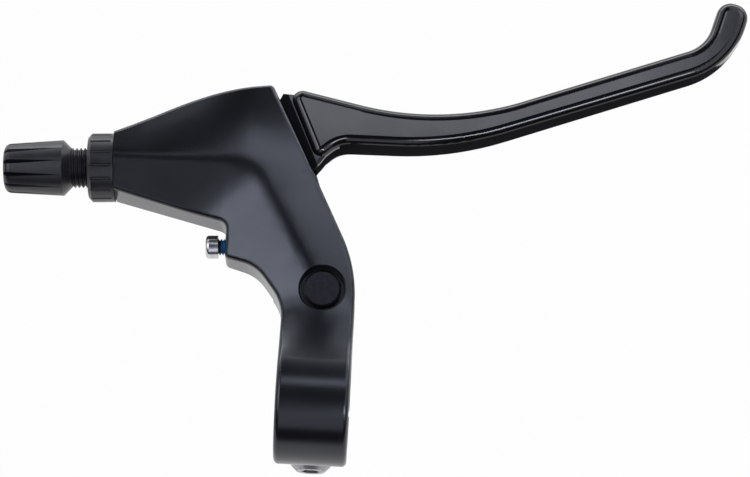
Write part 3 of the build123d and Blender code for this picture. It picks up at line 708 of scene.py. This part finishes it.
# %% Dried thread-lock on the reach screw
REACH_FACE = Vector(joints["reach_screw_turn"]["pos_m"])
LOCK_STREAK_MM = 0.5
LOCK_THICK = 0.4 * MM
LOCK_GONE = 1.5 * MM
COVER_THICK = 0.45
COVER_GONE = -0.35
BLUE_STARTS = 0.45
BLUE_FULL = 0.6


def locked_thread():
    """Dark steel thread with dried blue thread-lock, thick next to the bracket and thin near the head."""
    made, tree, shader = start_material("dried_blue_thread_lock_on_steel")
    place = add(tree, "ShaderNodeTexCoord").outputs["Object"]
    streak = add(
        tree,
        "ShaderNodeTexNoise",
        {"Vector": place, "Scale": per_metre(LOCK_STREAK_MM), "Detail": 2.0},
    )
    offset = add(tree, "ShaderNodeVectorMath", {0: place, 1: REACH_FACE}, operation="SUBTRACT").outputs[0]
    out = add(tree, "ShaderNodeVectorMath", {0: offset, 1: CABLE_OUT}, operation="DOT_PRODUCT")
    thin = add(
        tree,
        "ShaderNodeMapRange",
        {
            "Value": out.outputs["Value"],
            "From Min": LOCK_THICK,
            "From Max": LOCK_GONE,
            "To Min": COVER_THICK,
            "To Max": COVER_GONE,
        },
    )
    cover = add(
        tree,
        "ShaderNodeMath",
        {0: streak.outputs["Fac"], 1: thin.outputs["Result"]},
        operation="ADD",
    )
    blue = add(
        tree,
        "ShaderNodeMapRange",
        {"Value": cover.outputs[0], "From Min": BLUE_STARTS, "From Max": BLUE_FULL},
    )
    tint = add(
        tree,
        "ShaderNodeMix",
        {"Factor": blue.outputs["Result"], 6: linear("#3b3d42"), 7: linear("#0a66a0")},
        data_type="RGBA",
    )
    metal = add(
        tree,
        "ShaderNodeMapRange",
        {"Value": blue.outputs["Result"], "To Min": 0.9, "To Max": 0.0},
    )
    tree.links.new(tint.outputs[2], shader.inputs["Base Color"])
    tree.links.new(metal.outputs["Result"], shader.inputs["Metallic"])
    shader.inputs["Roughness"].default_value = 0.32
    return made


thread_lock = locked_thread()
print("thread-lock from the bracket to mm", LOCK_GONE / MM)

# %% Reach screw's thread
REACH_THREAD_START = 0.02 * MM
REACH_THREAD_END = 1.85 * MM
REACH_ROOT_R = 1.6 * MM
REACH_CREST_R = 2.0 * MM
REACH_PITCH = 0.7 * MM

reach_thread = threaded_sleeve(
    "reach_screw_thread",
    REACH_FACE,
    start=REACH_THREAD_START,
    end=REACH_THREAD_END,
    root=REACH_ROOT_R,
    crest=REACH_CREST_R,
    pitch=REACH_PITCH,
)
reach_thread.data.materials.append(thread_lock)
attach(reach_thread, "reach_screw")
print("reach thread faces", len(reach_thread.data.polygons))

# %% [markdown]
# The studio is a white floor, a sky that is pale only low in front, and softboxes. A black object shows its
# form only by what it mirrors, so each lamp stands where some face of the lever looks. One lamp overhead
# would grey every flat alike. Instead two large boxes stand left and right of the camera with a dark gap
# between them: the neck's web looks at the left one, and the wing looks into the gap. A panel ahead of the
# camera greys the blade's flat top, a lit wall in front draws the blade's front rim, and a box and a strip
# on the rider's side draw the clamp's soft band and the bright line along the blade's rear rim. The left box
# has a brighter heart and a dim foot, so that what mirrors it isn't evenly grey, and two boxes in front light
# what slopes that way. All lamps are slightly blue, which keeps the black cool against the white floor.

# %% Floor
FLOOR_Z = -110 * MM
FLOOR_HALF = 12.0
FLOOR_GLOW = 0.96

floor_mesh = bpy.data.meshes.new("floor")
corners = np.array([(-1, -1), (1, -1), (1, 1), (-1, 1)]) * FLOOR_HALF
floor_points = np.column_stack([corners, np.full(4, FLOOR_Z)])
floor_mesh.from_pydata(floor_points.tolist(), [], [(0, 1, 2, 3)])
floor = bpy.data.objects.new("floor", floor_mesh)
bpy.context.scene.collection.objects.link(floor)


def white_sweep():
    """White studio floor: it shows as white to the camera and in reflections, and keeps a soft shadow."""
    made, tree, shader = start_material("white_studio_floor")
    shader.inputs["Base Color"].default_value = linear("#eeeeee")
    shader.inputs["Roughness"].default_value = 0.9
    path = add(tree, "ShaderNodeLightPath")
    mirrored = add(
        tree,
        "ShaderNodeMath",
        {0: path.outputs["Is Glossy Ray"], 1: path.outputs["Is Transmission Ray"]},
        operation="ADD",
    )
    shown = add(
        tree,
        "ShaderNodeMath",
        {0: path.outputs["Is Camera Ray"], 1: mirrored.outputs[0]},
        operation="ADD",
    )
    share = add(
        tree,
        "ShaderNodeMath",
        {0: shown.outputs[0], 1: FLOOR_GLOW},
        operation="MULTIPLY",
        use_clamp=True,
    )
    glow = add(tree, "ShaderNodeEmission", {"Color": (1, 1, 1, 1), "Strength": 1.0})
    mixed = add(
        tree,
        "ShaderNodeMixShader",
        {0: share.outputs[0], 1: shader.outputs["BSDF"], 2: glow.outputs["Emission"]},
    )
    tree.links.new(mixed.outputs["Shader"], tree.nodes["Material Output"].inputs["Surface"])
    return made


floor_mesh.materials.append(white_sweep())
print("floor at mm", FLOOR_Z / MM)

# %% Sky: pale low in front, dim overhead and on the rider's side
SKY_UP = (0.0, -0.25, 1.0)
SKY_FADE_START = 0.05
SKY_FADE_END = 0.25
SKY_PALE = 1.0
SKY_DIM = 0.03

world = bpy.data.worlds.new("studio")
bpy.context.scene.world = world
world.use_nodes = True
sky = world.node_tree
ray = add(sky, "ShaderNodeTexCoord").outputs["Generated"]
height = add(sky, "ShaderNodeVectorMath", {0: ray, 1: SKY_UP}, operation="DOT_PRODUCT")
strength = add(
    sky,
    "ShaderNodeMapRange",
    {
        "Value": height.outputs["Value"],
        "From Min": SKY_FADE_START,
        "From Max": SKY_FADE_END,
        "To Min": SKY_PALE,
        "To Max": SKY_DIM,
    },
    interpolation_type="SMOOTHSTEP",
)
background = sky.nodes["Background"]
background.inputs["Color"].default_value = (1, 1, 1, 1)
sky.links.new(strength.outputs["Result"], background.inputs["Strength"])
print("sky from", SKY_PALE, "to", SKY_DIM)

# %% Softboxes
LAMP_TARGET = Vector((13, 42, 0)) * MM
LAMP_DISTANCE = 1.0
LAMP_COLOUR = (0.85, 0.885, 1.0)
WATTS_FOR_RADIANCE = 4.0


def softbox(name, right, forward, wide, deep, radiance):
    """A lamp that leans right and forward from overhead and spans a width and a depth, all in degrees. Its
    watts are its area times its radiance times WATTS_FOR_RADIANCE."""
    lean = Vector((np.tan(np.radians(right)), np.tan(np.radians(forward)), 1.0)).normalized()
    lamp = bpy.data.lights.new(name, "AREA")
    lamp.shape = "RECTANGLE"
    lamp.size = 2 * LAMP_DISTANCE * np.tan(np.radians(wide / 2))
    lamp.size_y = 2 * LAMP_DISTANCE * np.tan(np.radians(deep / 2))
    lamp.energy = WATTS_FOR_RADIANCE * lamp.size * lamp.size_y * radiance
    lamp.color = LAMP_COLOUR
    made = bpy.data.objects.new(name, lamp)
    across = Vector((0, 1, 0)).cross(lean).normalized()
    turned = Matrix((across, lean.cross(across), lean)).transposed()
    made.matrix_world = Matrix.Translation(LAMP_TARGET + lean * LAMP_DISTANCE) @ turned.to_4x4()
    bpy.context.scene.collection.objects.link(made)


softbox("box_on_left", right=-39, forward=0, wide=36, deep=56, radiance=1.4)
softbox("heart_of_left_box", right=-30, forward=1, wide=12, deep=24, radiance=2.3)
softbox("foot_of_left_box", right=-13, forward=-18, wide=13, deep=12, radiance=0.5)
softbox("box_in_front_left", right=-47, forward=58, wide=22, deep=26, radiance=0.9)
softbox("box_on_right", right=43, forward=0, wide=36, deep=74, radiance=0.9)
softbox("box_in_front_right", right=36, forward=48, wide=38, deep=46, radiance=1.0)
softbox("panel_ahead", right=4.6, forward=23.4, wide=17.2, deep=11.2, radiance=2.85)
softbox("lit_wall_in_front", right=0, forward=88, wide=100, deep=14, radiance=3.2)
softbox("box_on_rider_side", right=-6, forward=-46, wide=28, deep=32, radiance=0.7)
softbox("strip_on_rider_side", right=21.5, forward=-27.5, wide=26, deep=7, radiance=11.0)
print("lamps", len(bpy.data.lights))

# %% [markdown]
# The colours are shown as they are, with no film curve.

bpy.context.scene.view_settings.view_transform = "Standard"
